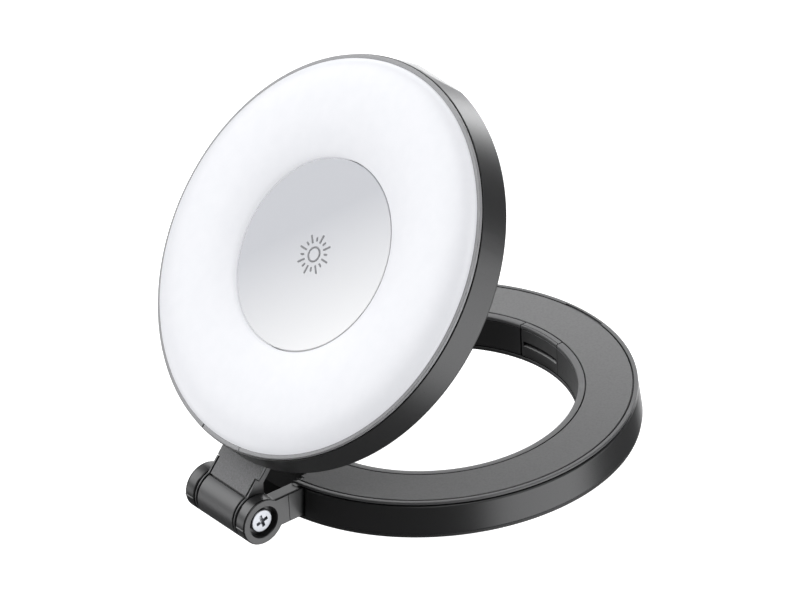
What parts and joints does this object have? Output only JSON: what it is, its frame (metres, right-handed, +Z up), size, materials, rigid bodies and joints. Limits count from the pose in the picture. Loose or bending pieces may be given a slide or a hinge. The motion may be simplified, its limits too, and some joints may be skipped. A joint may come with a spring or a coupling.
{
  "type": "folding ring light",
  "caption": "Small folding ring light: a round touch-dimmed lamp head hinged to a flat magnetic ring that rests on a table or holds to a phone.",
  "frame": {"origin": "on the ground plane, under the middle of the whole object's footprint; the ring's centre is 5.0 mm towards +X and its underside 1.11 mm up", "axes": "+Z up out of the ring, +X from the hinge across the ring, +Y to the left seen from the hinge, along the hinge axis"},
  "size_m": [0.07, 0.0616, 0.0613],
  "materials": {
    "graphite_plastic": "satin, fine spark-eroded grain",
    "barrel_plastic": "smooth semi-gloss",
    "pad_leatherette": "fine soft-touch leatherette grain",
    "cover_plastic": "matte black",
    "bezel_plastic": "satin light grey",
    "milky_diffuser": "milky white, softly glowing",
    "silver_disc": "fine satin silver",
    "screw_steel": "bright plated",
    "ring_steel": "plain pressed sheet",
    "magnet_nickel": "nickel plated",
    "washer_polymer": "natural acetal",
    "white_plastic": "matte white",
    "board_white": "white solder mask",
    "board_green": "green solder mask",
    "electrode_copper": "bare copper",
    "battery_foil": "laminated foil pouch",
    "battery_foam": "black foam tape",
    "lead_red": "red insulation",
    "lead_black": "black insulation"
  },
  "bodies": {
    "base": {"base_shell": "graphite_plastic", "base_top_frame": "graphite_plastic", "phone_pad": "pad_leatherette", "bottom_cover": "cover_plastic", "steel_ring": "ring_steel", "slot_insert": "graphite_plastic", "magnet_left_1": "magnet_nickel", "magnet_left_2": "magnet_nickel", "magnet_left_3": "magnet_nickel", "magnet_left_4": "magnet_nickel", "magnet_left_5": "magnet_nickel", "magnet_left_6": "magnet_nickel", "magnet_right_1": "magnet_nickel", "magnet_right_2": "magnet_nickel", "magnet_right_3": "magnet_nickel", "magnet_right_4": "magnet_nickel", "magnet_right_5": "magnet_nickel", "magnet_right_6": "magnet_nickel", "hinge_pin_sleeve": "screw_steel", "hinge_screw_left": "screw_steel", "hinge_screw_right": "screw_steel", "hinge_washer_left": "washer_polymer", "hinge_washer_right": "washer_polymer"},
    "head": {"hinge_arm": "barrel_plastic", "arm_front_plate": "graphite_plastic", "arm_screw_left": "screw_steel", "arm_screw_right": "screw_steel", "head_housing": "graphite_plastic", "bezel_ring": "bezel_plastic", "diffuser": "milky_diffuser", "touch_disc": "silver_disc", "disc_carrier": "white_plastic", "touch_electrode": "electrode_copper", "led_board": "board_white", "board_screw_1": "screw_steel", "board_screw_2": "screw_steel", "board_screw_3": "screw_steel", "control_board": "board_green", "charging_port": "screw_steel", "battery": "battery_foil", "battery_foam": "battery_foam", "battery_lead_red": "lead_red", "battery_lead_black": "lead_black"}
  },
  "joints": [
    {"name": "head_fold", "type": "hinge", "parent": "base", "child": "head", "pos_m": [-0.03146, 0, 0.00353], "axis": [0, -1, 0], "range_deg": [-49.4, 130.6]}
  ]
}
